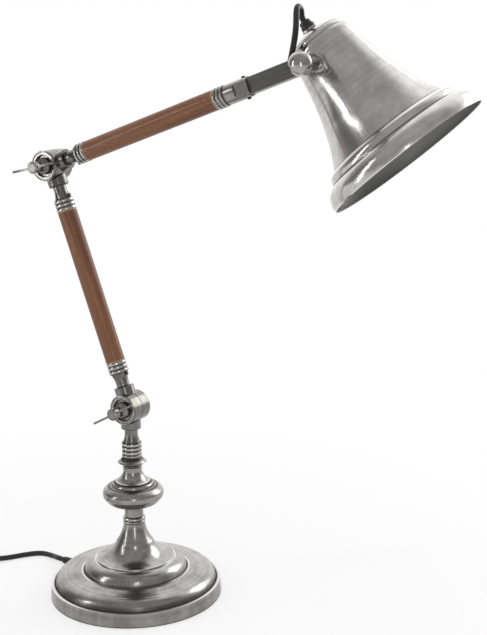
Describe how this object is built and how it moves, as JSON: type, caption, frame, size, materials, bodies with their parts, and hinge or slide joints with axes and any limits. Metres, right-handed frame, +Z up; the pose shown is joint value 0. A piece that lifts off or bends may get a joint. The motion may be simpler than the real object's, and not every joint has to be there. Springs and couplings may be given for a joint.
{
  "type": "adjustable desk lamp",
  "caption": "Adjustable table lamp with a weighted round base, a turned column, wooden arms on wing-screw knuckle joints and a spun bell shade on a tilting ball-knob pivot.",
  "frame": {"origin": "centre of the base's underside, on the table", "axes": "+Z up along the column; +X towards the head, in the plane that both arms move in; +Y away from the viewer, along the pivots"},
  "size_m": [0.7404, 0.3538, 0.6717],
  "materials": {
    "nickel": "antique nickel, satin, turned",
    "shade_nickel": "antique nickel, satin, spun",
    "bright_nickel": "polished nickel",
    "dark_bar": "dark grey, satin",
    "steel": "zinc plated",
    "black_steel": "blackened",
    "iron": "as cast",
    "brass": "plain",
    "wood": "oiled, satin",
    "felt": "felt",
    "cord": "black, matt",
    "black_plastic": "moulded, matt",
    "friction": "fibre washer",
    "glass": "frosted"
  },
  "bodies": {
    "base": {"base_shell": "nickel", "base_weight": "iron", "base_plate": "steel", "felt_pad": "felt", "column_rod": "steel", "base_washer": "steel", "base_nut": "steel", "column_foot": "nickel", "neck_ring": "bright_nickel", "column_knop": "nickel", "column_dish": "nickel", "column_ferrule": "nickel", "lower_joint_bolt": "nickel", "lower_joint_friction_ring": "friction", "strain_relief": "black_plastic", "base_lead": "cord", "mains_cord": "cord", "switch_base": "black_plastic", "switch_cover": "black_plastic", "switch_lead": "cord", "cord_coil": "cord", "cord_tail": "cord", "plug_body": "black_plastic", "plug_pins": "steel"},
    "lower_arm": {"lower_arm_foot": "nickel", "lower_joint_bezel": "bright_nickel", "lower_arm_wood": "wood", "lower_arm_tube": "steel", "lower_arm_lead": "cord", "lower_arm_grub_screws": "black_steel", "lower_arm_head": "nickel", "upper_joint_bolt": "nickel", "upper_joint_friction_ring": "friction"},
    "upper_arm": {"upper_arm_foot": "nickel", "upper_joint_bezel": "bright_nickel", "upper_arm_wood": "wood", "upper_arm_tube": "steel", "upper_arm_lead": "cord", "upper_arm_grub_screws": "black_steel", "head_ferrule": "nickel", "head_bar": "dark_bar", "pivot_bush": "brass", "pivot_washers": "steel"},
    "head": {"bell_shade": "shade_nickel", "shade_boss": "nickel", "boss_nut": "steel", "lamp_nipple": "steel", "crown_ring": "bright_nickel", "cable_gland": "black_plastic", "lampholder_cap": "black_plastic", "lampholder_body": "black_plastic", "lampholder_contact": "brass", "bulb_cap": "steel", "bulb_glass": "glass", "head_cable": "cord"},
    "lower_wing_screw": {"lower_joint_wing_screw": "nickel"},
    "upper_wing_screw": {"upper_joint_wing_screw": "nickel"},
    "head_knob": {"head_knob": "nickel"},
    "switch_rocker": {"switch_rocker": "black_plastic"}
  },
  "joints": [
    {"name": "lower_joint", "type": "hinge", "parent": "base", "child": "lower_arm", "pos_m": [0, 0, 0.2265], "axis": [0, 1, 0], "range_deg": [-50, 65]},
    {"name": "upper_joint", "type": "hinge", "parent": "lower_arm", "child": "upper_arm", "pos_m": [-0.09776, 0, 0.49953], "axis": [0, 1, 0], "range_deg": [-120, 8]},
    {"name": "head_tilt", "type": "hinge", "parent": "upper_arm", "child": "head", "pos_m": [0.23034, 0, 0.6125], "axis": [0, 1, 0], "range_deg": [-60, 50], "deforming": ["head_cable"]},
    {"name": "lower_wing_turn", "type": "hinge", "parent": "lower_arm", "child": "lower_wing_screw", "pos_m": [0, 0, 0.2265], "axis": [0, -1, 0], "range_deg": [-180, 180]},
    {"name": "upper_wing_turn", "type": "hinge", "parent": "upper_arm", "child": "upper_wing_screw", "pos_m": [-0.09776, 0, 0.49953], "axis": [0, -1, 0], "range_deg": [-180, 180]},
    {"name": "head_knob_turn", "type": "hinge", "parent": "head", "child": "head_knob", "pos_m": [0.23034, 0, 0.6125], "axis": [0, -1, 0], "range_deg": [-180, 180]},
    {"name": "switch_rock", "type": "hinge", "parent": "base", "child": "switch_rocker", "pos_m": [-0.25528, -0.05027, 0.0154], "axis": [-0.4231, 0.9061, 0], "range_deg": [0, 16]}
  ]
}
